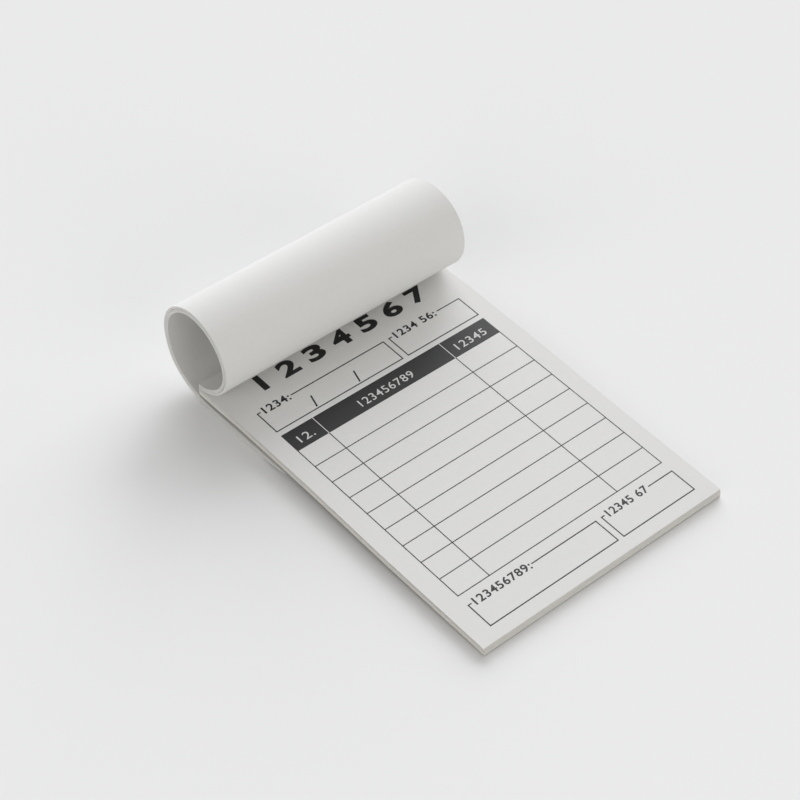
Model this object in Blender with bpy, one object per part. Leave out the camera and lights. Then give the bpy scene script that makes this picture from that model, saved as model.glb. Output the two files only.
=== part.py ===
"""Order pad: glued leaves on a backing board, with the upper leaves turned back and tucked under it.

The pad's own frame starts at the front edge of the board's underside: +X to the right, +Y to the bound
edge, +Z up through the leaves. The pad leans on the tucked leaves, so this frame is tilted a little.
The roll of turned leaves is drawn in side view and extruded across the page.
"""

import math

import bmesh
import bpy
from mathutils import Matrix, Vector

# Driving dimensions, in metres.
PAGE_WIDTH = 0.110
PAGE_LENGTH = 0.150
LEAF_THICKNESS = 0.00009
LEAF_GAP = 0.00001
BOARD_THICKNESS = 0.0008
GLUE_THICKNESS = 0.0004
PAD_LEAVES = 26
TURNED_LEAVES = 20

# Clearances, in metres.
TURN_CLEARANCE = 0.0003
TAIL_CLEARANCE = 0.00015
FOLD_CLEARANCE = 0.0003
FOLD_TO_ROLL = 0.0015

# The roll's bends along its middle leaf, from the bound edge: strip, length in metres, turn in degrees.
ROLL_BENDS = (
    ("root", 0.0051, 27.0),
    ("root", 0.0052, 11.0),
    ("front", 0.0145, 54.0),
    ("crown_front", 0.0183, 66.0),
    ("crown_rear", 0.0183, 59.0),
    ("back", 0.0166, 56.0),
)
DROP_TURN = 28.0
HEEL_LENGTH = 0.0080
HEEL_TURN = 28.0
TUCK_LENGTH = 0.0171
FULL_TURN = 360.0
ARC_STEP = math.radians(4.0)
SETTLE_ROUNDS = 30

# Colours, as linear values.
PAPER_WHITE = (0.78, 0.78, 0.76)
PAPER_CREAM = (0.74, 0.72, 0.68)
BOARD_CREAM = (0.60, 0.56, 0.51)
GLUE_WHITE = (0.70, 0.69, 0.66)
PAPER_ROUGHNESS = 0.85
BOARD_ROUGHNESS = 0.9
GLUE_ROUGHNESS = 0.35

LEAF_PITCH = LEAF_THICKNESS + LEAF_GAP
STACK_HEIGHT = BOARD_THICKNESS + PAD_LEAVES * LEAF_PITCH
PACKET = TURNED_LEAVES * LEAF_PITCH
SIDE_VIEW = (math.pi / 2, 0.0, math.pi / 2)


def clear_scene():
    for obj in list(bpy.data.objects):
        bpy.data.objects.remove(obj, do_unlink=True)


def make_material(name, colour, roughness):
    material = bpy.data.materials.new(name)
    material.use_nodes = True
    shader = material.node_tree.nodes["Principled BSDF"]
    shader.inputs["Base Color"].default_value = (*colour, 1.0)
    shader.inputs["Roughness"].default_value = roughness
    shader.inputs["Metallic"].default_value = 0.0
    return material


def place(obj, collection, parent, location, material=None):
    collection.objects.link(obj)
    obj.parent = parent
    obj.location = location
    if material is not None:
        obj.data.materials.append(material)
    return obj


def add_frame(name, collection, parent, location=(0, 0, 0), rotation=(0, 0, 0)):
    frame = place(bpy.data.objects.new(name, None), collection, parent, location)
    frame.rotation_euler = rotation
    return frame


def add_slab(name, collection, parent, origin, low, high, material):
    """A flat piece from the corner low to the corner high of the pad's frame, with its origin where given."""
    low, high, origin = Vector(low), Vector(high), Vector(origin)
    mesh = bpy.data.meshes.new(name)
    shape = bmesh.new()
    middle = Matrix.Translation((low + high) / 2 - origin)
    bmesh.ops.create_cube(shape, size=1.0, matrix=middle @ Matrix.Diagonal((*(high - low), 1.0)))
    shape.to_mesh(mesh)
    shape.free()
    return place(bpy.data.objects.new(name, mesh), collection, parent, origin, material)


def add_profile(name, collection, parent, location, outline, material):
    """A side-view outline, given about its own origin, extruded across the page."""
    curve = bpy.data.curves.new(name, "CURVE")
    curve.dimensions = "2D"
    curve.fill_mode = "BOTH"
    curve.extrude = PAGE_WIDTH / 2
    spline = curve.splines.new("POLY")
    spline.points.add(len(outline) - 1)
    for point, (y, z) in zip(spline.points, outline):
        point.co = (y, z, 0.0, 1.0)
    spline.use_cyclic_u = True
    return place(bpy.data.objects.new(name, curve), collection, parent, (*location, 0.0), material)


class Path:
    """The middle leaf of the roll in side view: arcs that run on from each other, measured from the root.

    Heading 0 points to the front of the pad and a quarter turn points up.
    """

    def __init__(self, start, bends):
        self.arcs = []
        (y, z), heading, reached = start, 0.0, 0.0
        for strip, length, turn in bends:
            arc = (strip, reached, length, y, z, heading, math.radians(turn) / length)
            self.arcs.append(arc)
            y, z, heading = self.along(arc, length)
            reached += length
        self.turn = heading

    @staticmethod
    def along(arc, distance):
        _, _, _, y, z, heading, curvature = arc
        if abs(curvature) < 1e-9:
            return y - distance * math.cos(heading), z + distance * math.sin(heading), heading
        turned = heading + curvature * distance
        y -= (math.sin(turned) - math.sin(heading)) / curvature
        z += (math.cos(heading) - math.cos(turned)) / curvature
        return y, z, turned

    def station(self, distance):
        within = [arc for arc in self.arcs if arc[1] <= distance] or self.arcs[:1]
        return self.along(within[-1], distance - within[-1][1])

    def point(self, distance, outwards):
        y, z, heading = self.station(distance)
        return y - outwards * math.sin(heading), z - outwards * math.cos(heading)

    def span(self, strip):
        arcs = [arc for arc in self.arcs if arc[0] == strip]
        return arcs[0][1], arcs[-1][1] + arcs[-1][2]

    def side(self, start, end, outwards):
        """Points from start to end along one face, close enough together to look round."""
        points = [self.point(start, outwards)]
        for _, begins, length, _, _, _, curvature in self.arcs:
            low, high = max(start, begins), min(end, begins + length)
            if high <= low:
                continue
            steps = max(1, math.ceil(abs(curvature) * (high - low) / ARC_STEP))
            for step in range(1, steps + 1):
                points.append(self.point(low + (high - low) * step / steps, outwards))
        return points


def roll_path(tilt, drop):
    """The roll with its tail level on the table: the last bend takes up the pad's tilt."""
    bends = list(ROLL_BENDS) + [("drop", drop, DROP_TURN), ("heel", HEEL_LENGTH, HEEL_TURN)]
    turned = sum(bend[2] for bend in bends)
    bends.append(("tuck", TUCK_LENGTH, FULL_TURN + math.degrees(tilt) - turned))
    bends.append(("tail", PAGE_LENGTH, 0.0))
    return Path((PAGE_LENGTH, STACK_HEIGHT + TURN_CLEARANCE + PACKET / 2), bends)


def leaf_end(path, outwards):
    """How far along the middle leaf another leaf of the packet ends, as every leaf has the page's length."""
    return PAGE_LENGTH - outwards * path.turn


def settle():
    """The tilt at which the board rests on the tail, and the drop that brings the tail to the table."""
    tilt = math.atan(PACKET / PAGE_LENGTH)
    drop = HEEL_LENGTH
    for _ in range(SETTLE_ROUNDS):
        path = roll_path(tilt, drop)
        y, z, _ = path.station(path.arcs[-1][1])
        drop += y * math.sin(tilt) + z * math.cos(tilt) - PACKET / 2
        tip = path.point(leaf_end(path, -PACKET / 2), -PACKET / 2)[0]
        tilt = math.atan((PACKET + TAIL_CLEARANCE) / tip)
    return tilt, roll_path(tilt, drop)


def strip_outline(path, start, end):
    half = PACKET / 2
    return path.side(start, end, half) + path.side(start, end, -half)[::-1]


def tail_outline(path, start):
    """The tail's outline, with one step for the end of each leaf."""
    half = PACKET / 2
    outline = path.side(start, leaf_end(path, half), half)
    for leaf in range(TURNED_LEAVES):
        outer = half - leaf * LEAF_PITCH
        end = leaf_end(path, outer - LEAF_PITCH / 2)
        if leaf:
            outline.append(path.point(end, outer))
        else:
            outline[-1] = path.point(end, outer)
        outline.append(path.point(end, outer - LEAF_PITCH))
    return outline + path.side(start, end, -half)[-2::-1]


def build_stack(collection, pad):
    """The board and the leaves that lie flat on it, and the glue along their bound edge."""
    half = PAGE_WIDTH / 2
    board = make_material("backing_card", BOARD_CREAM, BOARD_ROUGHNESS)
    add_slab("backing_board", collection, pad, (0, 0, 0),
             (-half, 0, 0), (half, PAGE_LENGTH, BOARD_THICKNESS), board)
    cream = make_material("leaf_paper", PAPER_CREAM, PAPER_ROUGHNESS)
    for number in range(1, PAD_LEAVES):
        low = BOARD_THICKNESS + LEAF_GAP + (number - 1) * LEAF_PITCH
        add_slab(f"leaf_{number:02d}", collection, pad, (0, 0, low),
                 (-half, 0, low), (half, PAGE_LENGTH, low + LEAF_THICKNESS), cream)
    glue = make_material("padding_glue", GLUE_WHITE, GLUE_ROUGHNESS)
    rear = PAGE_LENGTH + LEAF_GAP
    add_slab("spine_glue", collection, pad, (0, rear, 0),
             (-half, rear, 0), (half, rear + GLUE_THICKNESS, STACK_HEIGHT), glue)


def build_writing_sheet(collection, pad, path):
    """The top leaf: its bound part lies under the roll, and the rest lifts about a fold in front of it."""
    half = PAGE_WIDTH / 2
    paper = make_material("writing_paper", PAPER_WHITE, PAPER_ROUGHNESS)
    low = STACK_HEIGHT - LEAF_THICKNESS
    roll_front = min(y for y, _ in path.side(0.0, path.span("back")[0], PACKET / 2))
    fold = roll_front - FOLD_TO_ROLL
    add_slab("writing_sheet_bound", collection, pad, (0, fold, STACK_HEIGHT),
             (-half, fold + FOLD_CLEARANCE / 2, low), (half, PAGE_LENGTH, STACK_HEIGHT), paper)
    return add_slab("writing_sheet", collection, pad, (0, fold, STACK_HEIGHT),
                    (-half, 0, low), (half, fold - FOLD_CLEARANCE / 2, STACK_HEIGHT), paper)


def build_roll(collection, pad, path):
    """The turned leaves as strips, each on its own bend line, and the glue on their bound edge."""
    side = add_frame("turned_leaves", collection, pad, rotation=SIDE_VIEW)
    paper = make_material("turned_paper", PAPER_WHITE, PAPER_ROUGHNESS)
    spine = PAGE_LENGTH + LEAF_GAP + GLUE_THICKNESS + LEAF_GAP
    hinge = (spine, STACK_HEIGHT + TURN_CLEARANCE / 2)
    parent, parent_hinge = side, (0.0, 0.0)
    strips = list(dict.fromkeys(arc[0] for arc in path.arcs))
    made = []
    for strip in strips:
        start, end = path.span(strip)
        if strip == strips[0]:
            outline = strip_outline(path, start, end - FOLD_CLEARANCE / 2)
        else:
            hinge = path.point(start, PACKET / 2)
            start += FOLD_CLEARANCE / 2
            if strip == strips[-1]:
                outline = tail_outline(path, start)
            else:
                outline = strip_outline(path, start, end - FOLD_CLEARANCE / 2)
        about_hinge = [(y - hinge[0], z - hinge[1]) for y, z in outline]
        step = (hinge[0] - parent_hinge[0], hinge[1] - parent_hinge[1])
        obj = add_profile(f"turned_leaves_{strip}", collection, parent, step, about_hinge, paper)
        if strip == strips[0]:
            build_turned_glue(collection, obj, hinge)
        made.append(obj)
        parent, parent_hinge = obj, hinge
    return made


def build_turned_glue(collection, root, hinge):
    glue = make_material("turned_glue", GLUE_WHITE, GLUE_ROUGHNESS)
    front = PAGE_LENGTH + LEAF_GAP - hinge[0]
    low = STACK_HEIGHT + TURN_CLEARANCE - hinge[1]
    rear, high = front + GLUE_THICKNESS, low + PACKET
    outline = [(front, low), (rear, low), (rear, high), (front, high)]
    add_profile("turned_glue", collection, root, (0.0, 0.0), outline, glue)


def world_corners(collection):
    graph = bpy.context.evaluated_depsgraph_get()
    for obj in collection.objects:
        if obj.type == "EMPTY":
            continue
        shape = obj.evaluated_get(graph)
        mesh = shape.to_mesh()
        for vertex in mesh.vertices:
            yield shape.matrix_world @ vertex.co
        shape.to_mesh_clear()


def main():
    clear_scene()
    collection = bpy.data.collections.new("order_pad")
    bpy.context.scene.collection.children.link(collection)
    tilt, path = settle()
    base = add_frame("order_pad", collection, None)
    pad = add_frame("pad", collection, base, rotation=(tilt, 0.0, 0.0))
    build_stack(collection, pad)
    sheet = build_writing_sheet(collection, pad, path)
    strips = build_roll(collection, pad, path)

    # The origin is the middle of the ground that the pad covers.
    bpy.context.view_layer.update()
    depth = [corner.y for corner in world_corners(collection)]
    base.location.y = -(min(depth) + max(depth)) / 2
    bpy.context.view_layer.update()

    print(f"tilt {math.degrees(tilt):.3f} deg, packet {PACKET * 1000:.2f} mm, stack {STACK_HEIGHT * 1000:.2f} mm")
    for obj in [sheet] + strips:
        print(obj.name, "turns about", [round(value, 6) for value in obj.matrix_world.translation])


main()
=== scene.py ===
# %% [markdown]
# # An order pad with its upper leaves turned back
# A waiter's pad is a stack of thin paper forms on a stiff board, glued along one short edge. The forms
# already used are turned over that edge, curl in a loose roll and are tucked under the board, so that
# the next blank form shows. Here each sheet of paper is a real thin sheet, because its edges are what
# you see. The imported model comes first: it is the frame that fixes every size and every moving line.

# %% Load the frame
import math
import random

import bmesh
import bpy
from mathutils import Matrix, Vector


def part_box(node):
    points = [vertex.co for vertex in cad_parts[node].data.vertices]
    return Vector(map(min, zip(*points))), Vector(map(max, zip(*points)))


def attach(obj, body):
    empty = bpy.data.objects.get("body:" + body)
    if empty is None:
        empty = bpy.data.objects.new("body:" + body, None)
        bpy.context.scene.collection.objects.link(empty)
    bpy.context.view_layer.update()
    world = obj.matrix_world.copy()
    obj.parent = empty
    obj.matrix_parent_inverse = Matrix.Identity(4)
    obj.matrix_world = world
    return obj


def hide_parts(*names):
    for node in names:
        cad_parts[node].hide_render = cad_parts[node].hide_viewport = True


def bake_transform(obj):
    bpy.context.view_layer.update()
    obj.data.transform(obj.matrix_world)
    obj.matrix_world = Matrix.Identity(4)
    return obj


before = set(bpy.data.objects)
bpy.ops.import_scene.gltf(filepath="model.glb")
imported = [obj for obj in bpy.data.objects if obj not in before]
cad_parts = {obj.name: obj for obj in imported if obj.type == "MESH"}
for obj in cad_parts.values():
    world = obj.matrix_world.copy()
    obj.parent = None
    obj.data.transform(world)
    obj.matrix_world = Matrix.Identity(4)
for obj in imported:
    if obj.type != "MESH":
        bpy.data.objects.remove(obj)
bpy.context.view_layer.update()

# %% [markdown]
# ## The pad's own axes
# The rear of the pad lies on the tucked leaves, so the pad leans forward by about a degree. It is far
# easier to draw the page flat, with x across, y from the front edge to the bound edge and z up through
# the leaves, and to lean everything at the end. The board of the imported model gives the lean: its top
# face has a normal, and its lowest corner is the front edge on the table.

# %% Find the lean
MM = 0.001
PAGE_WIDTH = 110 * MM
PAGE_LENGTH = 150 * MM
LEAF_PITCH = 0.1 * MM
BOARD_THICKNESS = 0.8 * MM
PAD_LEAVES = 26
STACK_HEIGHT = BOARD_THICKNESS + PAD_LEAVES * LEAF_PITCH
HALF_WIDTH = PAGE_WIDTH / 2


def find_pad_axes(board):
    top = max(board.data.polygons, key=lambda face: face.normal.z)
    lean = math.atan2(-top.normal.y, top.normal.z)
    front = min((vertex.co for vertex in board.data.vertices), key=lambda place: place.z)
    return lean, Matrix.Translation((0.0, front.y, front.z)) @ Matrix.Rotation(lean, 4, "X")


LEAN, PAD = find_pad_axes(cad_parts["backing_board"])
print(f"the pad leans {math.degrees(LEAN):.3f} degrees, its stack is {STACK_HEIGHT / MM:.1f} mm high")

# %% [markdown]
# ## The camera
# The photographer stands at the front left corner of the pad and looks down at about 45 degrees through
# a long lens, so the ruled lines hardly converge. Three turns place such a camera: round the table,
# down towards it, and a small roll about the line of sight.

# %% Set up the camera
CAMERA_PLACE = (-0.394935, -0.417881, 0.588771)
CAMERA_AZIMUTH = math.radians(42.044)
CAMERA_ELEVATION = math.radians(44.914)
CAMERA_ROLL = math.radians(1.795)
CAMERA_LENS = 105.0
SENSOR_WIDTH = 36.0


def add_camera():
    camera = bpy.data.objects.new("camera", bpy.data.cameras.new("camera"))
    bpy.context.scene.collection.objects.link(camera)
    camera.data.lens = CAMERA_LENS
    camera.data.sensor_width = SENSOR_WIDTH
    camera.matrix_world = (
        Matrix.Translation(CAMERA_PLACE)
        @ Matrix.Rotation(-CAMERA_AZIMUTH, 4, "Z")
        @ Matrix.Rotation(math.pi / 2 - CAMERA_ELEVATION, 4, "X")
        @ Matrix.Rotation(CAMERA_ROLL, 4, "Z")
    )
    bpy.context.scene.camera = camera
    return camera


print("camera looks through", add_camera().data.lens, "mm")

# %% [markdown]
# ## Node trees in a few lines
# Every finish below is a small tree of shader nodes. A few helpers keep them readable: one adds a node
# and sets its values, one places a node group on the piece, and one joins colour, roughness and normal
# to the shader. A group's sockets are declared on its interface.

# %% Helpers for nodes
def add_node(tree, kind, settings=None, **values):
    """A node with its settings, and values given by the names of its inputs, with _ for a space."""
    node = tree.nodes.new(kind)
    for name, setting in (settings or {}).items():
        setattr(node, name, setting)
    for name, value in values.items():
        node.inputs[name.replace("_", " ")].default_value = value
    return node


def new_group(name, inputs, outputs):
    """An empty node group with its input and output nodes."""
    group = bpy.data.node_groups.new(name, "ShaderNodeTree")
    for socket, kind, value in inputs:
        made = group.interface.new_socket(socket, in_out="INPUT", socket_type=kind)
        if value is not None:
            made.default_value = value
    for socket, kind in outputs:
        group.interface.new_socket(socket, in_out="OUTPUT", socket_type=kind)
    return group, group.nodes.new("NodeGroupInput"), group.nodes.new("NodeGroupOutput")


def new_material(name):
    """A material with its tree and its shader."""
    material = bpy.data.materials.new(name)
    material.use_nodes = True
    return material, material.node_tree, material.node_tree.nodes["Principled BSDF"]


def object_place(tree):
    return add_node(tree, "ShaderNodeTexCoord").outputs["Object"]


def use_group(tree, group, **values):
    """A node group with its own values, laid over the piece by its Object coordinates."""
    node = add_node(tree, "ShaderNodeGroup", {"node_tree": group}, **values)
    tree.links.new(object_place(tree), node.inputs["Place"])
    return node


def blend_colours(tree, factor, low, high):
    """A colour between low and high, by a value that changes over the surface."""
    node = add_node(tree, "ShaderNodeMix", {"data_type": "RGBA"})
    node.inputs[6].default_value = (*low, 1.0)
    node.inputs[7].default_value = (*high, 1.0)
    tree.links.new(factor, node.inputs[0])
    return node.outputs[2]


def remap(tree, value, low, high):
    node = add_node(tree, "ShaderNodeMapRange", To_Min=low, To_Max=high)
    tree.links.new(value, node.inputs["Value"])
    return node.outputs["Result"]


def add_bump(tree, height, strength, distance):
    node = add_node(tree, "ShaderNodeBump", Strength=strength, Distance=distance)
    tree.links.new(height, node.inputs["Height"])
    return node.outputs["Normal"]


def link_shader(tree, shader, colour, roughness, normal):
    for name, output in (("Base Color", colour), ("Roughness", roughness), ("Normal", normal)):
        tree.links.new(output, shader.inputs[name])


print("node helpers ready")

# %% [markdown]
# ## The tooth of paper
# Held to the light, office paper is cloudy over a millimetre or two, where the fibres settled unevenly,
# and its surface has a fine tooth of about a fifth of a millimetre. Two noises give these, and every
# paper and board here shares them as one group with its own scale.

# %% Make the paper group
def make_tooth_group():
    group, start, end = new_group(
        "paper_tooth",
        [("Place", "NodeSocketVector", None),
         ("Cloud Scale", "NodeSocketFloat", 700.0),
         ("Tooth Scale", "NodeSocketFloat", 5000.0)],
        [("Cloud", "NodeSocketFloat"), ("Tooth", "NodeSocketFloat")],
    )
    cloud = add_node(group, "ShaderNodeTexNoise", Detail=3.0, Roughness=0.55)
    tooth = add_node(group, "ShaderNodeTexNoise", Detail=2.0, Roughness=0.6)
    for node, scale, output in ((cloud, "Cloud Scale", "Cloud"), (tooth, "Tooth Scale", "Tooth")):
        group.links.new(start.outputs["Place"], node.inputs["Vector"])
        group.links.new(start.outputs[scale], node.inputs["Scale"])
        group.links.new(node.outputs["Fac"], end.inputs[output])
    return group


TOOTH = make_tooth_group()
print("group", TOOTH.name)

# %% [markdown]
# ## Streaks on a cut edge
# A pad is trimmed by a guillotine. Its blade leaves short upright streaks on the block, and the edges
# of the leaves look warmer than their faces, because light goes round between the sheets. The streaks
# are noise that is stretched along the height of the block.

# %% Make the cut edge group
def make_streak_group():
    group, start, end = new_group(
        "cut_streaks",
        [("Place", "NodeSocketVector", None), ("Fineness", "NodeSocketFloat", 1.0)],
        [("Streak", "NodeSocketFloat"), ("Layer", "NodeSocketFloat")],
    )
    for output, stretch, detail in (
        ("Streak", (1800.0, 1800.0, 160.0), 3.0),
        ("Layer", (120.0, 120.0, 7000.0), 2.0),
    ):
        mapping = add_node(group, "ShaderNodeMapping", Scale=stretch)
        noise = add_node(group, "ShaderNodeTexNoise", Detail=detail)
        group.links.new(start.outputs["Place"], mapping.inputs["Vector"])
        group.links.new(mapping.outputs["Vector"], noise.inputs["Vector"])
        group.links.new(start.outputs["Fineness"], noise.inputs["Scale"])
        group.links.new(noise.outputs["Fac"], end.inputs[output])
    return group


STREAKS = make_streak_group()
print("group", STREAKS.name)

# %% [markdown]
# ## Paper finishes
# The writing sheet and the turned leaves are the same uncoated white stock. It is matt, so its
# roughness is high and varies only a little with the tooth. The cut edges get the streaks, with a
# creamy tone on the block and a whiter one on the turned leaves.

# %% Make the paper materials
PAPER_ROUGHNESS = (0.78, 0.92)
PAPER_BUMP = (0.25, 0.02 * MM)
PAPER_SHINE = 0.3
EDGE_ROUGHNESS = (0.82, 0.98)
EDGE_BUMP = (0.3, 0.03 * MM)
EDGE_SHINE = 0.2


def make_paper(name, low, high):
    material, tree, shader = new_material(name)
    tooth = use_group(tree, TOOTH)
    colour = blend_colours(tree, tooth.outputs["Cloud"], low, high)
    roughness = remap(tree, tooth.outputs["Tooth"], *PAPER_ROUGHNESS)
    link_shader(tree, shader, colour, roughness, add_bump(tree, tooth.outputs["Tooth"], *PAPER_BUMP))
    shader.inputs["Specular IOR Level"].default_value = PAPER_SHINE
    return material


def make_cut_edge(name, low, high):
    material, tree, shader = new_material(name)
    streaks = use_group(tree, STREAKS)
    colour = blend_colours(tree, streaks.outputs["Streak"], low, high)
    roughness = remap(tree, streaks.outputs["Layer"], *EDGE_ROUGHNESS)
    link_shader(tree, shader, colour, roughness, add_bump(tree, streaks.outputs["Streak"], *EDGE_BUMP))
    shader.inputs["Specular IOR Level"].default_value = EDGE_SHINE
    return material


WRITING_PAPER = make_paper("writing_paper_face", (0.68, 0.675, 0.66), (0.715, 0.71, 0.695))
TURNED_PAPER = make_paper("turned_paper_face", (0.68, 0.675, 0.658), (0.715, 0.71, 0.693))
LEAF_PAPER = make_paper("leaf_paper_face", (0.69, 0.68, 0.66), (0.73, 0.72, 0.70))
CUT_EDGE = make_cut_edge("cut_paper_edge", (0.68, 0.658, 0.615), (0.735, 0.717, 0.678))
TURNED_EDGE = make_cut_edge("turned_paper_edge", (0.68, 0.675, 0.657), (0.735, 0.73, 0.712))
papers = (WRITING_PAPER, TURNED_PAPER, LEAF_PAPER, CUT_EDGE, TURNED_EDGE)
print("papers", [material.name for material in papers])

# %% [markdown]
# ## Ink, board and glue
# Print on such a form is one black ink, a little uneven and slightly smoother than the paper, so it
# picks up a faint sheen. The board is pressed from brown pulp with a few darker flecks and has a pale
# liner; the pulp is coloured darker than its own brown, as painted shade for the foot of the block.
# Padding glue dries to a milky, rubbery film that is glossier than anything else on the pad.

# %% Make the ink, board and glue materials
INK_ROUGHNESS = (0.5, 0.64)
INK_BUMP = (0.2, 0.02 * MM)
INK_SHINE = 0.4
BOARD_ROUGHNESS = (0.8, 0.97)
BOARD_BUMP = (0.5, 0.04 * MM)
GLUE_ROUGHNESS = (0.25, 0.45)
GLUE_BUMP = (0.4, 0.1 * MM)
GLUE_DEPTH = (0.6 * MM, 0.5 * MM, 0.4 * MM)


def make_ink(name, low, high):
    material, tree, shader = new_material(name)
    tooth = use_group(tree, TOOTH, Cloud_Scale=1500.0, Tooth_Scale=9000.0)
    colour = blend_colours(tree, tooth.outputs["Cloud"], low, high)
    roughness = remap(tree, tooth.outputs["Tooth"], *INK_ROUGHNESS)
    link_shader(tree, shader, colour, roughness, add_bump(tree, tooth.outputs["Tooth"], *INK_BUMP))
    shader.inputs["Specular IOR Level"].default_value = INK_SHINE
    return material


def make_board(name, low, high, fleck):
    material, tree, shader = new_material(name)
    tooth = use_group(tree, TOOTH, Cloud_Scale=400.0, Tooth_Scale=2600.0)
    flecks = add_node(tree, "ShaderNodeTexVoronoi", Scale=2600.0)
    tree.links.new(object_place(tree), flecks.inputs["Vector"])
    mask = add_node(tree, "ShaderNodeMapRange", From_Min=0.0, From_Max=0.22, To_Min=0.55, To_Max=0.0)
    tree.links.new(flecks.outputs["Distance"], mask.inputs["Value"])
    flecked = add_node(tree, "ShaderNodeMix", {"data_type": "RGBA"})
    flecked.inputs[7].default_value = (*fleck, 1.0)
    tree.links.new(mask.outputs["Result"], flecked.inputs[0])
    tree.links.new(blend_colours(tree, tooth.outputs["Cloud"], low, high), flecked.inputs[6])
    roughness = remap(tree, tooth.outputs["Tooth"], *BOARD_ROUGHNESS)
    bump = add_bump(tree, tooth.outputs["Tooth"], *BOARD_BUMP)
    link_shader(tree, shader, flecked.outputs[2], roughness, bump)
    return material


def make_glue(name, low, high):
    material, tree, shader = new_material(name)
    tooth = use_group(tree, TOOTH, Cloud_Scale=500.0, Tooth_Scale=1500.0)
    colour = blend_colours(tree, tooth.outputs["Cloud"], low, high)
    roughness = remap(tree, tooth.outputs["Tooth"], *GLUE_ROUGHNESS)
    link_shader(tree, shader, colour, roughness, add_bump(tree, tooth.outputs["Cloud"], *GLUE_BUMP))
    shader.inputs["Subsurface Weight"].default_value = 0.15
    shader.inputs["Subsurface Radius"].default_value = GLUE_DEPTH
    return material


INK = make_ink("form_ink", (0.006, 0.006, 0.006), (0.012, 0.012, 0.012))
BARE_PAPER = make_paper("unprinted_paper", (0.62, 0.615, 0.60), (0.66, 0.655, 0.64))
LINER_CARD = make_board(
    "board_liner_card", (0.66, 0.635, 0.59), (0.72, 0.697, 0.652), (0.58, 0.545, 0.49))
# The pulp colour is darker than the board's own brown: it paints the contact shade at the block's foot.
PULP_WITH_PAINTED_SHADE = make_board("pulp_with_painted_foot_shade", (0.17, 0.147, 0.115), (0.23, 0.2, 0.16), (0.12, 0.1, 0.078))
GLUE = make_glue("padding_glue_film", (0.66, 0.65, 0.62), (0.76, 0.75, 0.72))
print("others", [material.name for material in (INK, BARE_PAPER, LINER_CARD, PULP_WITH_PAINTED_SHADE, GLUE)])

# %% [markdown]
# ## From shape to piece
# Each piece is built in a bmesh and then becomes an object at the origin, with its place in its mesh,
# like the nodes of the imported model. Sharp edges are found by angle, so a sheet is smooth along its
# bend and crisp at its cut edges. A piece that bends needs rows of vertices, and bisect_plane cuts them
# into any shape.

# %% Helpers for finished pieces
SHARP_ANGLE = math.radians(35)
CUT_TOLERANCE = 1e-7


def finish_piece(name, shape, materials):
    bmesh.ops.recalc_face_normals(shape, faces=shape.faces)
    mesh = bpy.data.meshes.new(name)
    shape.to_mesh(mesh)
    shape.free()
    mesh.polygons.foreach_set("use_smooth", [True] * len(mesh.polygons))
    mesh.set_sharp_from_angle(angle=SHARP_ANGLE)
    for material in materials:
        mesh.materials.append(material)
    piece = bpy.data.objects.new(name, mesh)
    bpy.context.scene.collection.objects.link(piece)
    return piece


def cut_rows(shape, rows):
    """Cuts a shape across at each of these distances from the front edge."""
    for y in rows:
        everything = shape.verts[:] + shape.edges[:] + shape.faces[:]
        bmesh.ops.bisect_plane(shape, geom=everything, dist=CUT_TOLERANCE,
                               plane_co=(0.0, y, 0.0), plane_no=(0.0, 1.0, 0.0))


print(f"edges over {math.degrees(SHARP_ANGLE):.0f} degrees are sharp")

# %% [markdown]
# ## The backing board
# The board is a card of two plies: a pale liner under the leaves and raw brown pulp below it, a hair
# smaller, which shows as a thin dark line round the foot of the block. That line is partly the pulp's
# own brown and partly painted shade, as the pulp is coloured darker to stand in for the contact shadow
# at the foot. The block isn't quite square: its rear half stands half a millimetre to the right, and
# its foot about as far forward. Each ply is a cube that is cut in rows so that it can follow this, and
# a narrow bevel of three segments rounds its edges.

# %% Make the board
SWAY = 0.55 * MM
SWAY_RISE = (45 * MM, 95 * MM)
SWAY_FALL = (125 * MM, 148 * MM)
FRONT_SPREAD = 0.6 * MM
BOARD_STEP = 10 * MM
LINER = 0.3 * MM
LINER_INSET = 0.05 * MM
LINER_ROUNDING = 0.04 * MM
PULP_INSET = 0.2 * MM
PULP_ROUNDING = 0.15 * MM


def smooth_step(value, low, high):
    share = min(1.0, max(0.0, (value - low) / (high - low)))
    return share * share * (3.0 - 2.0 * share)


def block_sway(y):
    """How far the block's rear half stands to the right of its front."""
    return SWAY * smooth_step(y, *SWAY_RISE) * (1.0 - smooth_step(y, *SWAY_FALL))


def make_ply(name, low, high, inset, rounding, material):
    """One ply of the board, between two heights of the block, set in on the left and in front."""
    shape = bmesh.new()
    front = inset - FRONT_SPREAD
    size = Matrix.Diagonal((PAGE_WIDTH - inset, PAGE_LENGTH - front, high - low, 1.0))
    middle = Matrix.Translation((inset / 2, (PAGE_LENGTH + front) / 2, (low + high) / 2))
    bmesh.ops.create_cube(shape, size=1.0, matrix=middle @ size)
    cut_rows(shape, [step * BOARD_STEP for step in range(1, round(PAGE_LENGTH / BOARD_STEP))])
    sharp = [edge for edge in shape.edges if edge.calc_face_angle(0.0) > SHARP_ANGLE]
    bmesh.ops.bevel(shape, geom=sharp, offset=rounding, offset_type="OFFSET",
                    affect="EDGES", segments=3, profile=0.5, material=-1)
    for vertex in shape.verts:
        vertex.co.x += block_sway(vertex.co.y)
    bmesh.ops.transform(shape, matrix=PAD, verts=shape.verts)
    ply = finish_piece(name, shape, [material])
    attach(ply, "pad")
    return ply


pulp_top = BOARD_THICKNESS - LINER
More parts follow.
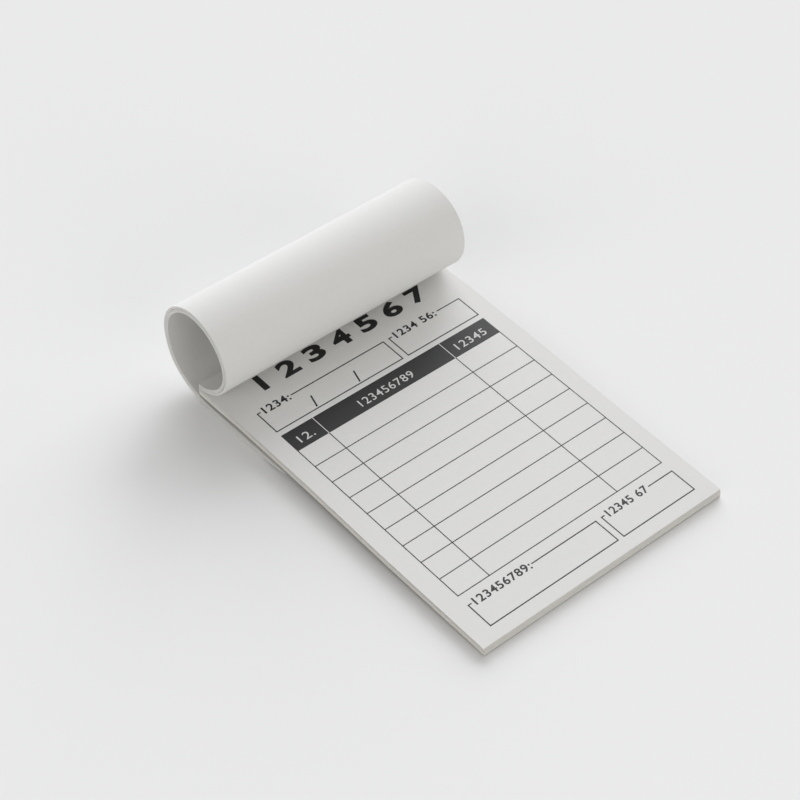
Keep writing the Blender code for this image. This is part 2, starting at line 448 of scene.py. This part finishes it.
# The lower ply wears the pulp colour that paints the shade at the foot of the block.
board = make_ply("board", 0.0, pulp_top, PULP_INSET, PULP_ROUNDING, PULP_WITH_PAINTED_SHADE)
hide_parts("backing_board")
liner = make_ply("board_liner", pulp_top, BOARD_THICKNESS, LINER_INSET, LINER_ROUNDING, LINER_CARD)
print("board", len(board.data.polygons) + len(liner.data.polygons), "faces")

# %% [markdown]
# ## A sheet of paper
# A sheet could be a plane with a Solidify modifier. Here its two faces are two grids, each laid where a
# function puts it, and bridge_loops closes the rim between them. The same helper then serves for flat
# leaves and for leaves that curl, and the rim gets the look of a cut edge.

# %% Helper for a sheet
SHEET_THICKNESS = 0.085 * MM
RIM_SLOT = 1


def lay_sheet(shape, across, rows, place, normal_layer=None, normal_at=None):
    """A thin closed sheet. place(x, row, side) gives a vertex, with side half a thickness up or down."""
    rim = set()
    for side in (0.5, -0.5):
        steps = len(rows) - 1
        grid = bmesh.ops.create_grid(shape, x_segments=across, y_segments=steps, size=1.0)["verts"]
        for vertex in grid:
            x = vertex.co.x * HALF_WIDTH
            row = rows[round((vertex.co.y + 1.0) / 2.0 * steps)]
            vertex.co = place(x, row, side * SHEET_THICKNESS)
            if normal_layer is not None:
                vertex[normal_layer] = normal_at(x, row) * math.copysign(1.0, side)
        for vertex in grid:
            rim.update(edge for edge in vertex.link_edges if edge.is_boundary)
    closed = bmesh.ops.bridge_loops(shape, edges=list(rim))
    for face in closed["faces"]:
        face.material_index = RIM_SLOT


def even_rows(start, end, step):
    count = max(1, math.ceil(abs(end - start) / step))
    return [start + (end - start) * number / count for number in range(count + 1)]


print(f"a sheet is {SHEET_THICKNESS / MM:.3f} mm thick")

# %% [markdown]
# ## The leaves on the board
# Twenty-five leaves lie under the writing sheet. No two sheets sit exactly alike: each is off by a few
# hundredths of a millimetre. A few slipped further before the glue set, which leaves a thin dark groove
# along the left of the block, and the lowest ones stand in a little, as if the blade had run off. In
# front each stands out a little past the one above, as the leaves of a bent block do. They follow the
# sway of the board. A seeded random generator gives the same block every time.

# %% Make the leaves
LEAF_COLUMNS = 12
LEAF_STEP = 10 * MM
LEAF_SLIP = 0.05 * MM
GROOVE_LEAVES = (18, 19, 20, 21)
GROOVE_DEPTH = 0.42 * MM
UNDERCUT_LEAVES = 9
UNDERCUT = 0.15 * MM
LEAF_WAVE = 0.004 * MM
WAVE_LENGTH = 37 * MM
SEED = 11
luck = random.Random(SEED)


def make_leaf(number):
    middle = BOARD_THICKNESS + (number - 0.5) * LEAF_PITCH
    slip_x = luck.uniform(-LEAF_SLIP, LEAF_SLIP)
    slip_y = luck.uniform(-LEAF_SLIP, LEAF_SLIP)
    phase = luck.uniform(0.0, math.tau)
    inset = GROOVE_DEPTH if number in GROOVE_LEAVES else 0.0
    if number < UNDERCUT_LEAVES:
        inset = UNDERCUT * (1.0 - number / UNDERCUT_LEAVES) ** 2
    spread = FRONT_SPREAD * (1.0 - number / PAD_LEAVES)

    def place(x, y, side):
        wave = LEAF_WAVE * math.sin(math.tau * (x + y) / WAVE_LENGTH + phase)
        across = x + slip_x + inset * (HALF_WIDTH - x) / PAGE_WIDTH + block_sway(y)
        forward = spread * (1.0 - y / PAGE_LENGTH)
        return PAD @ Vector((across, y + slip_y - forward, middle + wave + side))

    shape = bmesh.new()
    lay_sheet(shape, LEAF_COLUMNS, even_rows(0.0, PAGE_LENGTH - LEAF_SLIP, LEAF_STEP), place)
    return finish_piece(f"sheet_{number:02d}", shape, [LEAF_PAPER, CUT_EDGE])


for number in range(1, PAD_LEAVES):
    leaf = make_leaf(number)
    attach(leaf, "pad")
    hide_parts(f"leaf_{number:02d}")
print("leaves", PAD_LEAVES - 1)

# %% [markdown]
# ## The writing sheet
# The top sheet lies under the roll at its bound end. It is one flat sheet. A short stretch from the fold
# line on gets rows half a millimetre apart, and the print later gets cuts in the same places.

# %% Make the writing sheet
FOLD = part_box("writing_sheet")[1].y
FOLD_LINE = (PAD.inverted() @ Vector((0.0, FOLD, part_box("writing_sheet")[1].z))).y
BEND_LENGTH = 6 * MM
BEND_STEP = 0.5 * MM
FREE_STEP = 8 * MM
BOUND_STEP = 6 * MM
BEND_ROWS = even_rows(FOLD_LINE - BEND_LENGTH, FOLD_LINE, BEND_STEP)


def bend_with_sheet(piece):
    """Bakes the piece's transform into its mesh."""
    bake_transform(piece)


def make_writing_sheet():
    rows = even_rows(0.0, BEND_ROWS[0], FREE_STEP) + BEND_ROWS[1:]
    rows += even_rows(BEND_ROWS[-1], PAGE_LENGTH, BOUND_STEP)[1:]
    middle = STACK_HEIGHT - SHEET_THICKNESS / 2

    def place(x, y, side):
        return PAD @ Vector((x + block_sway(y), y, middle + side))

    shape = bmesh.new()
    lay_sheet(shape, LEAF_COLUMNS, rows, place)
    return finish_piece("writing_sheet_form", shape, [WRITING_PAPER, CUT_EDGE])


writing_sheet = make_writing_sheet()
bend_with_sheet(writing_sheet)
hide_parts("writing_sheet", "writing_sheet_bound")
print(f"writing sheet folds {FOLD_LINE / MM:.1f} mm from its front edge")

# %% [markdown]
# ## The printed form
# A form is printed with one ink: a ruled table under a dark band, two boxes above it and two below. Ink
# could be a texture, but thin lines stay crisper as a film of their own, a hundredth of a millimetre
# thick. Each bar is a scaled cube, sunk a little into the paper, and is cut in rows where the sheet
# bends.

# %% Helpers for print
INK_FILM = 0.012 * MM
INK_SUNK = 0.004 * MM
RULE = 0.4 * MM


def add_bar(shape, left, right, front, rear, lift=0.0):
    """A flat bar of ink on the page, from left to right and front to rear."""
    size = Matrix.Diagonal((right - left, rear - front, INK_FILM, 1.0))
    height = STACK_HEIGHT - INK_SUNK + INK_FILM / 2 + lift
    middle = Matrix.Translation(((left + right) / 2, (front + rear) / 2, height))
    bmesh.ops.create_cube(shape, size=1.0, matrix=middle @ size)


def add_rule(shape, left, right, y, width=RULE):
    add_bar(shape, left - width / 2, right + width / 2, y - width / 2, y + width / 2)


def add_column(shape, x, front, rear, width=RULE):
    add_bar(shape, x - width / 2, x + width / 2, front, rear)


def finish_print(name, shape, material):
    """Cuts the print at the rows of the sheet's bend stretch and leans it with the pad."""
    cut_rows(shape, BEND_ROWS)
    bmesh.ops.transform(shape, matrix=PAD, verts=shape.verts)
    piece = finish_piece(name, shape, [material])
    bend_with_sheet(piece)
    return piece


print(f"ink stands {(INK_FILM - INK_SUNK) / MM:.3f} mm above the paper")

# %% [markdown]
# ## The table and its band
# Nine equal rows lie under the band, in three columns: a narrow one for the count, a wide one for the
# order and one for the price. In the band the column lines are left white, so the band is three bars.

# %% Print the table
TABLE_LEFT = -46.8 * MM
TABLE_RIGHT = 47.9 * MM
TABLE_REAR = 104.66 * MM
BAND_REAR = 114.06 * MM
ROWS = 9
ROW_PITCH = 9.235 * MM
TABLE_FRONT = TABLE_REAR - ROWS * ROW_PITCH
COLUMNS = (-32.85 * MM, 26.35 * MM)
BAND_GAP = 0.3 * MM


def print_table():
    shape = bmesh.new()
    for row in range(1, ROWS + 1):
        add_rule(shape, TABLE_LEFT, TABLE_RIGHT, TABLE_REAR - row * ROW_PITCH)
    for x in (TABLE_LEFT, *COLUMNS, TABLE_RIGHT):
        add_column(shape, x, TABLE_FRONT, TABLE_REAR)
    return finish_print("print_table", shape, INK)


def print_band():
    shape = bmesh.new()
    starts = (TABLE_LEFT - RULE / 2, *(x + BAND_GAP / 2 for x in COLUMNS))
    ends = (*(x - BAND_GAP / 2 for x in COLUMNS), TABLE_RIGHT + RULE / 2)
    for left, right in zip(starts, ends):
        add_bar(shape, left, right, TABLE_REAR, BAND_REAR)
    return finish_print("print_band", shape, INK)


table, band = print_table(), print_band()
print("table", len(table.data.polygons), "faces; band", len(band.data.polygons), "faces")

# %% [markdown]
# ## The boxes
# Each box has a gap in its rear line where its label stands, with a short tick left at the corner. The
# left box above the table also has two slanted strokes that part it in three.

# %% Print the boxes
BOX_LINE = 0.48 * MM
BOX_LEFT = (TABLE_LEFT, 11.25 * MM)
BOX_RIGHT = (13.95 * MM, TABLE_RIGHT)
UPPER_BOXES = (116.47 * MM, 127.36 * MM)
LOWER_BOXES = (5.62 * MM, 16.49 * MM)
LABEL_GAPS = {
    "upper_left": (-45.6 * MM, -31.6 * MM),
    "upper_right": (15.2 * MM, 37.3 * MM),
    "lower_left": (-45.6 * MM, -18.4 * MM),
    "lower_right": (15.2 * MM, 36.6 * MM),
}
STROKE = 0.65 * MM
STROKES = ((-26.4 * MM, -28.0 * MM), (-6.65 * MM, -8.28 * MM))
STROKE_REAR = 122.8 * MM
STROKE_FRONT = 117.2 * MM


def print_box(name, sides, ends, gap):
    (left, right), (front, rear) = sides, ends
    shape = bmesh.new()
    for x in (left, right):
        add_column(shape, x, front, rear, BOX_LINE)
    add_rule(shape, left, right, front, BOX_LINE)
    add_rule(shape, left, gap[0], rear, BOX_LINE)
    add_rule(shape, gap[1], right, rear, BOX_LINE)
    return finish_print(f"print_box_{name}", shape, INK)


def print_strokes():
    shape = bmesh.new()
    for rear_x, front_x in STROKES:
        bar = bmesh.new()
        add_bar(bar, -STROKE / 2, STROKE / 2, STROKE_FRONT, STROKE_REAR)
        slant = (rear_x - front_x) / (STROKE_REAR - STROKE_FRONT)
        for vertex in bar.verts:
            vertex.co.x += front_x + slant * (vertex.co.y - STROKE_FRONT)
        stroke = bpy.data.meshes.new("stroke")
        bar.to_mesh(stroke)
        bar.free()
        shape.from_mesh(stroke)
        bpy.data.meshes.remove(stroke)
    return finish_print("print_strokes", shape, INK)


for name, gap in LABEL_GAPS.items():
    ends = UPPER_BOXES if name.startswith("upper") else LOWER_BOXES
    print_box(name, BOX_LEFT if name.endswith("left") else BOX_RIGHT, ends, gap)
print_strokes()
print("boxes", list(LABEL_GAPS))

# %% [markdown]
# ## Plain numbers for the words
# A part for a library carries no words, so counting numbers stand in the place of the heading and the
# labels. Text becomes a mesh first. Then it is scaled to the height it has on the page, and its outline
# is thickened for the bold heading.

# %% Print the numbers
CURVE_STEPS = 6
WELD = 1e-4


def number_shape(text, height, boldness, tracking):
    """Flat glyphs as a bmesh, with their left lower corner at the origin."""
    curve = bpy.data.curves.new("numbers", "FONT")
    curve.body = text
    curve.offset = boldness
    curve.space_character = tracking
    curve.resolution_u = CURVE_STEPS
    holder = bpy.data.objects.new("numbers", curve)
    bpy.context.scene.collection.objects.link(holder)
    bpy.context.view_layer.update()
    outline = holder.evaluated_get(bpy.context.evaluated_depsgraph_get())
    mesh = bpy.data.meshes.new_from_object(outline)
    bpy.data.objects.remove(holder)
    shape = bmesh.new()
    shape.from_mesh(mesh)
    bpy.data.meshes.remove(mesh)
    bmesh.ops.remove_doubles(shape, verts=shape.verts, dist=WELD)
    low = Vector((min(v.co.x for v in shape.verts), min(v.co.y for v in shape.verts), 0.0))
    top = max(v.co.y for v in shape.verts)
    bmesh.ops.translate(shape, vec=-low, verts=shape.verts)
    factor = height / (top - low.y)
    bmesh.ops.scale(shape, vec=Vector((1.0, 1.0, 0.0)) * factor, verts=shape.verts)
    return shape


def print_numbers(name, shape, left, front, width, material, lift=0.0):
    """Numbers on the page as a thin film, stretched to a width."""
    reach = max(v.co.x for v in shape.verts)
    bmesh.ops.scale(shape, vec=(width / reach, 1.0, 1.0), verts=shape.verts)
    film = bmesh.ops.extrude_face_region(shape, geom=shape.faces[:])["geom"]
    upper = [item for item in film if isinstance(item, bmesh.types.BMVert)]
    bmesh.ops.translate(shape, vec=(0.0, 0.0, INK_FILM), verts=upper)
    ground = STACK_HEIGHT - INK_SUNK + lift
    bmesh.ops.translate(shape, vec=(left, front, ground), verts=shape.verts)
    return finish_print(name, shape, material)


HEADING_HEIGHT = 7.8 * MM
HEADING_BOLDNESS = 0.04
HEADING_FRONT = 134.8 * MM
HEADING_START = -36.2
HEADING_PITCH = 12.2
HEADING_MIDDLES = [(HEADING_START + HEADING_PITCH * place) * MM for place in range(7)]
HEADING_WIDTHS = [2.6 * MM] + [7.8 * MM] * 6
LABEL_HEIGHT = 3.5 * MM
LABEL_BOLDNESS = 0.022
LABEL_TRACKING = 1.1
LABEL_DROP = LABEL_HEIGHT / 2
BAND_LABEL_FRONT = 107.0 * MM
BAND_BOLDNESS = 0.002
LABELS = (
    ("upper_left", "1234:", -44.3 * MM, UPPER_BOXES[1] - LABEL_DROP, 11.8 * MM),
    ("upper_right", "1234 56:", 16.5 * MM, UPPER_BOXES[1] - LABEL_DROP, 19.4 * MM),
    ("lower_left", "123456789:", -44.4 * MM, LOWER_BOXES[1] - LABEL_DROP, 25.2 * MM),
    ("lower_right", "12345 67", 16.5 * MM, LOWER_BOXES[1] - LABEL_DROP, 19.0 * MM),
)
BAND_LABELS = (
    ("count", "12.", -43.3 * MM, 6.6 * MM),
    ("order", "123456789", -15.6 * MM, 24.7 * MM),
    ("price", "12345", 30.1 * MM, 14.0 * MM),
)

for number, (middle, width) in enumerate(zip(HEADING_MIDDLES, HEADING_WIDTHS), start=1):
    shape = number_shape(str(number), HEADING_HEIGHT, HEADING_BOLDNESS, 1.0)
    print_numbers(f"print_heading_{number}", shape, middle - width / 2, HEADING_FRONT, width, INK)
for name, text, left, front, width in LABELS:
    shape = number_shape(text, LABEL_HEIGHT, LABEL_BOLDNESS, LABEL_TRACKING)
    print_numbers(f"print_label_{name}", shape, left, front, width, INK)
for name, text, left, width in BAND_LABELS:
    shape = number_shape(text, LABEL_HEIGHT, BAND_BOLDNESS, LABEL_TRACKING)
    print_numbers(f"print_band_{name}", shape, left, BAND_LABEL_FRONT, width, BARE_PAPER, INK_FILM / 2)
print("numbers", len(HEADING_WIDTHS) + len(LABELS) + len(BAND_LABELS), "pieces")

# %% [markdown]
# ## The path of the turned leaves
# Seen from the side, the turned leaves follow one line: forward from the bound edge, up, over and back,
# down behind the pad and forward again under it. The line is a chain of arcs, each a length and a turn,
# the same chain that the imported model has. Heading 0 points to the front of the pad and a quarter turn
# points up. The length of the drop behind the pad follows from where the table is.

# %% Draw the path
TURNED_LEAVES = 20
PACKET = TURNED_LEAVES * LEAF_PITCH
TURN_CLEARANCE = 0.3 * MM
STRIPS = ("root", "front", "crown_front", "crown_rear", "back", "drop", "heel", "tuck", "tail")
BENDS = (
    ("root", 5.1 * MM, 27.0),
    ("root", 5.2 * MM, 11.0),
    ("front", 14.5 * MM, 54.0),
    ("crown_front", 18.3 * MM, 66.0),
    ("crown_rear", 18.3 * MM, 59.0),
    ("back", 16.6 * MM, 56.0),
    ("drop", None, 28.0),
    ("heel", 8.0 * MM, 28.0),
    ("tuck", 17.1 * MM, None),
    ("tail", PAGE_LENGTH, 0.0),
)
STRAIGHT = 1e-9


def step_along(y, z, heading, length, curvature):
    """The point and heading after a length of arc, or of straight line."""
    if abs(curvature) < STRAIGHT:
        return y - length * math.cos(heading), z + length * math.sin(heading), heading
    turned = heading + curvature * length
    y -= (math.sin(turned) - math.sin(heading)) / curvature
    z += (math.cos(heading) - math.cos(turned)) / curvature
    return y, z, turned


def chain_arcs(drop):
    """The arcs as (strip, where it starts along the leaf, length, y, z, heading, curvature)."""
    last_turn = 360.0 + math.degrees(LEAN) - sum(turn or 0.0 for _, _, turn in BENDS)
    y, z, heading, along = PAGE_LENGTH, STACK_HEIGHT + TURN_CLEARANCE + PACKET / 2, 0.0, 0.0
    arcs = []
    for strip, length, turn in BENDS:
        length = drop if length is None else length
        curvature = math.radians(last_turn if turn is None else turn) / length
        arcs.append((strip, along, length, y, z, heading, curvature))
        y, z, heading = step_along(y, z, heading, length, curvature)
        along += length
    return arcs


def tail_height(drop):
    _, _, _, y, z, _, _ = chain_arcs(drop)[-1]
    return (PAD @ Vector((0.0, y, z))).z


def find_drop():
    """The tail's height changes evenly with the drop, so two tries give the drop to the table."""
    short, long = 10 * MM, 20 * MM
    high, low = tail_height(short), tail_height(long)
    return short + (long - short) * (high - PACKET / 2) / (high - low)


ARCS = chain_arcs(find_drop())
FULL_TURN = ARCS[-1][5]
STRIP_ENDS = {strip: (min(arc[1] for arc in ARCS if arc[0] == strip),
                      max(arc[1] + arc[2] for arc in ARCS if arc[0] == strip)) for strip in STRIPS}
print(f"drop {find_drop() / MM:.2f} mm, whole turn {math.degrees(FULL_TURN):.1f} degrees")

# %% [markdown]
# ## Leaves along the path
# Each turned leaf keeps its distance from the middle line, and all leaves are equally long, so the
# outer ones end earlier. The roll isn't quite a cylinder: its front leans back a little at the left end
# and forward at the right end. Its leaves lie close where they are glued and where they are tucked in,
# and looser between. The normal of the bent sheet comes from two small steps on it, so that shading
# runs on without a break from one stretch of the roll to the next.

# %% Helpers for the roll
FLARE = 0.6 * MM
FLARE_RISE = (18 * MM, 37 * MM)
FLARE_FALL = (37 * MM, 56 * MM)
LOOSENESS = 0.15
LOOSE_RISE = (8 * MM, 24 * MM)
LOOSE_FALL = (94 * MM, 112 * MM)
SMALL_STEP = 0.05 * MM
PROBE = 30 * MM


def station(along):
    _, start, _, y, z, heading, curvature = [arc for arc in ARCS if arc[1] <= along][-1]
    return step_along(y, z, heading, along - start, curvature)


def roll_point(x, along, outwards):
    """A point of a turned leaf: its place across, along the leaf and out from the middle leaf."""
    y, z, heading = station(max(along, 0.0))
    flare = FLARE * smooth_step(along, *FLARE_RISE) * (1.0 - smooth_step(along, *FLARE_FALL))
    loose = LOOSENESS * smooth_step(along, *LOOSE_RISE) * (1.0 - smooth_step(along, *LOOSE_FALL))
    outwards = outwards * (1.0 + loose) + flare * x / HALF_WIDTH
    y -= outwards * math.sin(heading)
    z -= outwards * math.cos(heading)
    return PAD @ Vector((x, y, z))


def roll_normal(x, along):
    """The outward normal of the roll at that place."""
    here = roll_point(x, along, 0.0)
    sideways = roll_point(x + SMALL_STEP, along, 0.0) - here
    onwards = roll_point(x, along + SMALL_STEP, 0.0) - here
    return sideways.cross(onwards).normalized()


outward = roll_point(0.0, PROBE, MM) - roll_point(0.0, PROBE, 0.0)
NORMAL_SIGN = 1.0 if outward.dot(roll_normal(0.0, PROBE)) > 0 else -1.0
crown = roll_point(0.0, STRIP_ENDS["crown_front"][1], PACKET / 2)
print(f"the roll's crown stands {crown.z / MM:.1f} mm above the table")

# %% [markdown]
# ## The turned leaves
# The roll is cut into stretches in the middle of the model's strips. The twenty leaves fall into two
# handfuls with a hair's breadth of air between them, which shows as a fine line on the rim.

# %% Make the turned leaves
TURN_STEP = math.radians(2.5)
ROW_STEP = 4 * MM
ACROSS = 10
OUTER_HANDFUL = 9
HANDFUL_GAP = 0.12 * MM
ROLL_SLIP = 0.08 * MM
END_MARGIN = 0.12
TAIL_BLEND = 14 * MM


def leaf_offsets():
    """How far each turned leaf lies out from the middle one, outermost first, and its slip sideways."""
    pitch = (PACKET - HANDFUL_GAP) / TURNED_LEAVES
    offsets = []
    for number in range(TURNED_LEAVES):
        gap = HANDFUL_GAP if number >= OUTER_HANDFUL else 0.0
        slip = luck.uniform(-ROLL_SLIP, ROLL_SLIP)
        offsets.append((PACKET / 2 - (number + 0.5) * pitch - gap, slip))
    return offsets


LEAF_OFFSETS = leaf_offsets()


def stretch_rows(start, end):
    """Places along the leaf from start to end, close together where it bends tightly."""
    rows = [start]
    for _, begins, length, _, _, _, curvature in ARCS:
        low, high = max(start, begins), min(end, begins + length)
        if high > low + STRAIGHT:
            step = ROW_STEP if abs(curvature) < STRAIGHT else min(ROW_STEP, TURN_STEP / abs(curvature))
            rows += even_rows(low, high, step)[1:]
    return rows


def keep_normals(mesh):
    """Gives the leaf faces the normals of the whole bent leaf, and the rims their own."""
    whole = [Vector(item.vector) for item in mesh.attributes["sheet_normal"].data]
    normals = [Vector((0.0, 0.0, 1.0))] * len(mesh.loops)
    for face in mesh.polygons:
        for loop in face.loop_indices:
            rim = face.material_index == RIM_SLOT
            normals[loop] = face.normal if rim else whole[mesh.loops[loop].vertex_index]
    mesh.normals_split_custom_set(normals)
    mesh.attributes.remove(mesh.attributes["sheet_normal"])


def make_stretch(name, start, end, last=False):
    """All turned leaves between two places along the middle leaf."""
    shape = bmesh.new()
    layer = shape.verts.layers.float_vector.new("sheet_normal")
    for outwards, slip in LEAF_OFFSETS:
        leaf_end = PAGE_LENGTH - outwards * FULL_TURN if last else end
        lay_sheet(
            shape, ACROSS, stretch_rows(start, leaf_end),
            lambda x, along, side: roll_point(x, along, outwards + side) + Vector((slip, 0.0, 0.0)),
            layer, lambda x, along: roll_normal(x, along) * NORMAL_SIGN,
        )
    piece = finish_piece(name, shape, [TURNED_PAPER, TURNED_EDGE])
    keep_normals(piece.data)
    return piece


def make_roll():
    middles = [sum(STRIP_ENDS[strip]) / 2 for strip in STRIPS[:-1]]
    middles.append(STRIP_ENDS["tail"][0] + TAIL_BLEND)
    made = [make_stretch("turned_root", 0.0, middles[0])]
    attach(made[0], "roll_root")
    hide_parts("turned_leaves_root")
    for number in range(len(STRIPS) - 1):
        one, two = STRIPS[number], STRIPS[number + 1]
        start, end = middles[number], middles[number + 1]
        piece = make_stretch(f"turned_{one}_to_{two}", start, end)
        first, last = roll_point(0.0, start, 0.0), roll_point(0.0, end, 0.0)
        first.lerp(last, END_MARGIN)
        last.lerp(first, END_MARGIN)
        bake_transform(piece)
        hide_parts(f"turned_leaves_{two}")
        made.append(piece)
    made.append(make_stretch("turned_tail", middles[-1], PAGE_LENGTH, last=True))
    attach(made[-1], "roll_tail")
    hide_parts("turned_leaves_tail")
    return made


roll = make_roll()
print("roll", len(roll), "stretches,", sum(len(piece.data.polygons) for piece in roll), "faces")

# %% [markdown]
# ## The padding glue
# Glue is brushed over the bound edge in two coats and dries to a thin skin, thicker in the middle and
# drawn in at its rims. A grid bulged outwards, closed by an extrusion to the paper, has that form. The
# coat on the turned leaves splits from the coat on the pad where the pad was opened.

# %% Make the glue
GLUE_THICKNESS = 0.4 * MM
GLUE_GAP = 0.01 * MM
GLUE_BRUSH = 0.05 * MM
GLUE_LEAST = 0.1 * MM
GLUE_COLUMNS = 66
GLUE_ROWS = 8
BROAD_STROKES = 9.0
FINE_STROKES = 31.0
RIM_DRAWN_IN = 0.45
ENDS_DRAWN_IN = 0.4


def make_glue_skin(name, low, high):
    """A skin of glue on the bound edge, between two heights of the block."""
    shape = bmesh.new()
    size = {"x_segments": GLUE_COLUMNS, "y_segments": GLUE_ROWS, "size": 1.0}
    for vertex in bmesh.ops.create_grid(shape, **size)["verts"]:
        across, up = vertex.co.x, vertex.co.y
        strokes = math.sin(BROAD_STROKES * across + 2.0 * up) + math.sin(FINE_STROKES * across + 1.0)
        drawn_in = (1.0 - RIM_DRAWN_IN * up ** 4) * (1.0 - ENDS_DRAWN_IN * across ** 12)
        bulge = (GLUE_THICKNESS - GLUE_BRUSH) * drawn_in + GLUE_BRUSH * strokes / 2
        y = PAGE_LENGTH + GLUE_GAP + max(GLUE_LEAST, bulge - GLUE_BRUSH)
        vertex.co = PAD @ Vector((across * HALF_WIDTH, y, low + (up + 1.0) / 2.0 * (high - low)))
    flat = bmesh.ops.extrude_face_region(shape, geom=shape.faces[:])["geom"]
    back = PAD.inverted()
    for vertex in [item for item in flat if isinstance(item, bmesh.types.BMVert)]:
        place = back @ vertex.co
        vertex.co = PAD @ Vector((place.x, PAGE_LENGTH + GLUE_GAP, place.z))
    return finish_piece(name, shape, [GLUE])


pad_glue = make_glue_skin("glue_on_pad", 0.0, STACK_HEIGHT)
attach(pad_glue, "pad")
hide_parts("spine_glue")
turned_low = STACK_HEIGHT + TURN_CLEARANCE
roll_glue = make_glue_skin("glue_on_turned_leaves", turned_low, turned_low + PACKET)
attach(roll_glue, "roll_root")
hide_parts("turned_glue")
print("glue", len(pad_glue.data.polygons) + len(roll_glue.data.polygons), "faces")

# %% [markdown]
# ## The table top and the light
# The pad lies on a seamless pale sheet in a studio. A wide window of two panes stands low behind it and
# to the right, so the roll shades the page and a broad shadow falls to the front left. A white wall on
# the left and one in front throw some light back. Suns with wide angles stand in for all four, because
# they light a big floor evenly, and the sky fills what is left. The camera sees the same pale grey
# beyond the floor.

# %% Build the studio
FLOOR_SIZE = 4.0
FLOOR_TONE = 0.83
FLOOR_COLOUR = (0.82, 0.82, 0.816)
SKY_LIGHT = 0.345
WINDOW_COLOUR = (0.99, 1.0, 1.03)
WALL_COLOUR = (1.0, 0.985, 0.955)


def make_floor():
    shape = bmesh.new()
    bmesh.ops.create_grid(shape, x_segments=2, y_segments=2, size=FLOOR_SIZE)
    mesh = bpy.data.meshes.new("floor")
    shape.to_mesh(mesh)
    shape.free()
    floor = bpy.data.objects.new("floor", mesh)
    bpy.context.scene.collection.objects.link(floor)
    material, _, shader = new_material("studio_floor")
    shader.inputs["Base Color"].default_value = (*FLOOR_COLOUR, 1.0)
    shader.inputs["Roughness"].default_value = 0.9
    shader.inputs["Specular IOR Level"].default_value = 0.0
    mesh.materials.append(material)


def add_sun(name, colour, strength, width, azimuth, elevation):
    """A wide sun. Its azimuth goes in degrees from the rear of the pad to its right and on round it."""
    lamp = bpy.data.lights.new(name, "SUN")
    lamp.color = colour
    lamp.energy = strength
    lamp.angle = math.radians(width)
    sun = bpy.data.objects.new(name, lamp)
    bpy.context.scene.collection.objects.link(sun)
    turn, rise = math.radians(azimuth), math.radians(elevation)
    level = math.cos(rise)
    towards = Vector((math.sin(turn) * level, math.cos(turn) * level, math.sin(rise)))
    sun.rotation_euler = towards.to_track_quat("Z", "Y").to_euler()


def make_sky():
    world = bpy.data.worlds.new("studio_sky")
    bpy.context.scene.world = world
    world.use_nodes = True
    tree = world.node_tree
    sky = tree.nodes["Background"]
    sky.inputs["Color"].default_value = (1.0, 1.0, 1.0, 1.0)
    sky.inputs["Strength"].default_value = SKY_LIGHT
    seen = add_node(tree, "ShaderNodeBackground", Color=(FLOOR_TONE, FLOOR_TONE, FLOOR_TONE, 1.0))
    path = add_node(tree, "ShaderNodeLightPath")
    mix = add_node(tree, "ShaderNodeMixShader")
    tree.links.new(path.outputs["Is Camera Ray"], mix.inputs["Fac"])
    tree.links.new(sky.outputs["Background"], mix.inputs[1])
    tree.links.new(seen.outputs["Background"], mix.inputs[2])
    tree.links.new(mix.outputs["Shader"], tree.nodes["World Output"].inputs["Surface"])


make_floor()
add_sun("window_rear", WINDOW_COLOUR, strength=2.25, width=48, azimuth=40, elevation=24)
add_sun("window_right", WINDOW_COLOUR, strength=1.65, width=48, azimuth=70, elevation=22)
add_sun("left_wall", WALL_COLOUR, strength=1.15, width=60, azimuth=260, elevation=15)
add_sun("front_wall", WALL_COLOUR, strength=1.0, width=50, azimuth=176, elevation=12)
make_sky()
bpy.context.scene.view_settings.view_transform = "Standard"
print("lamps", [lamp.name for lamp in bpy.data.lights])
